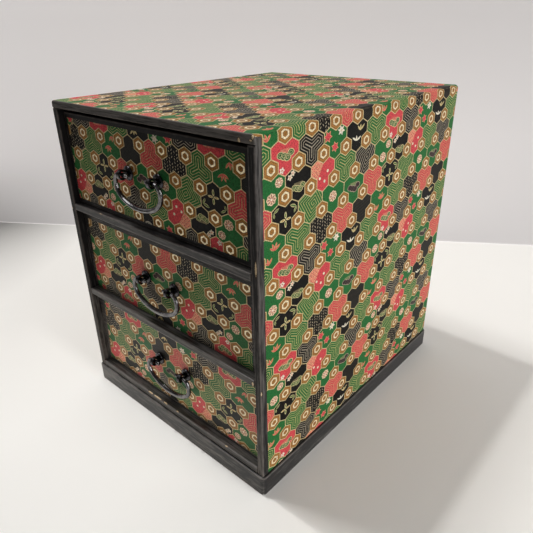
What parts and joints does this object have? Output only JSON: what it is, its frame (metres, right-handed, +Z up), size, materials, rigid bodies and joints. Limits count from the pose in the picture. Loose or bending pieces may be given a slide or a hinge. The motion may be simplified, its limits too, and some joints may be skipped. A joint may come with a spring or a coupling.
{
  "type": "miniature chest of drawers",
  "caption": "Small upright trinket chest of paper-covered board with stacked drawers on drop-bail pulls and a low plinth.",
  "frame": {"origin": "on the floor, in the middle of the whole chest's box, pulls included", "axes": "+X to the right as seen from the front, -Y towards the front (drawers open that way), +Z up"},
  "size_m": [0.1116, 0.136, 0.1367],
  "materials": {
    "printed_paper_on_board": "satin printed paper, black at the edges",
    "black_paper_on_board": "satin black paper",
    "dark_metal": "blackened, polished by handling"
  },
  "bodies": {
    "case": {"case_top": "printed_paper_on_board", "case_left_side": "printed_paper_on_board", "case_right_side": "printed_paper_on_board", "case_back": "printed_paper_on_board", "case_bottom": "black_paper_on_board", "case_lower_shelf": "black_paper_on_board", "case_upper_shelf": "black_paper_on_board", "plinth_front": "black_paper_on_board", "plinth_right": "black_paper_on_board", "plinth_back": "black_paper_on_board", "plinth_left": "black_paper_on_board"},
    "top_drawer": {"top_drawer_front": "printed_paper_on_board", "top_drawer_left_side": "black_paper_on_board", "top_drawer_right_side": "black_paper_on_board", "top_drawer_back": "black_paper_on_board", "top_drawer_floor": "black_paper_on_board", "top_drawer_left_pin": "dark_metal", "top_drawer_right_pin": "dark_metal", "top_drawer_left_seat": "dark_metal", "top_drawer_right_seat": "dark_metal"},
    "top_drawer_bail": {"top_drawer_bail": "dark_metal"},
    "middle_drawer": {"middle_drawer_front": "printed_paper_on_board", "middle_drawer_left_side": "black_paper_on_board", "middle_drawer_right_side": "black_paper_on_board", "middle_drawer_back": "black_paper_on_board", "middle_drawer_floor": "black_paper_on_board", "middle_drawer_left_pin": "dark_metal", "middle_drawer_right_pin": "dark_metal", "middle_drawer_left_seat": "dark_metal", "middle_drawer_right_seat": "dark_metal"},
    "middle_drawer_bail": {"middle_drawer_bail": "dark_metal"},
    "bottom_drawer": {"bottom_drawer_front": "printed_paper_on_board", "bottom_drawer_left_side": "black_paper_on_board", "bottom_drawer_right_side": "black_paper_on_board", "bottom_drawer_back": "black_paper_on_board", "bottom_drawer_floor": "black_paper_on_board", "bottom_drawer_left_pin": "dark_metal", "bottom_drawer_right_pin": "dark_metal", "bottom_drawer_left_seat": "dark_metal", "bottom_drawer_right_seat": "dark_metal"},
    "bottom_drawer_bail": {"bottom_drawer_bail": "dark_metal"}
  },
  "joints": [
    {"name": "top_drawer_slide", "type": "slide", "parent": "case", "child": "top_drawer", "axis": [0, -1, 0], "range_m": [-0.0007, 0.1]},
    {"name": "top_drawer_bail_swing", "type": "hinge", "parent": "top_drawer", "child": "top_drawer_bail", "pos_m": [-0.0019, -0.06601, 0.11435], "axis": [-1, 0, 0], "range_deg": [-9, 189]},
    {"name": "middle_drawer_slide", "type": "slide", "parent": "case", "child": "middle_drawer", "axis": [0, -1, 0], "range_m": [0, 0.1]},
    {"name": "middle_drawer_bail_swing", "type": "hinge", "parent": "middle_drawer", "child": "middle_drawer_bail", "pos_m": [-0.0004, -0.06531, 0.07175], "axis": [-1, 0, 0], "range_deg": [-9, 189]},
    {"name": "bottom_drawer_slide", "type": "slide", "parent": "case", "child": "bottom_drawer", "axis": [0, -1, 0], "range_m": [0, 0.1]},
    {"name": "bottom_drawer_bail_swing", "type": "hinge", "parent": "bottom_drawer", "child": "bottom_drawer_bail", "pos_m": [0.0014, -0.06531, 0.03255], "axis": [-1, 0, 0], "range_deg": [-9, 189]}
  ]
}
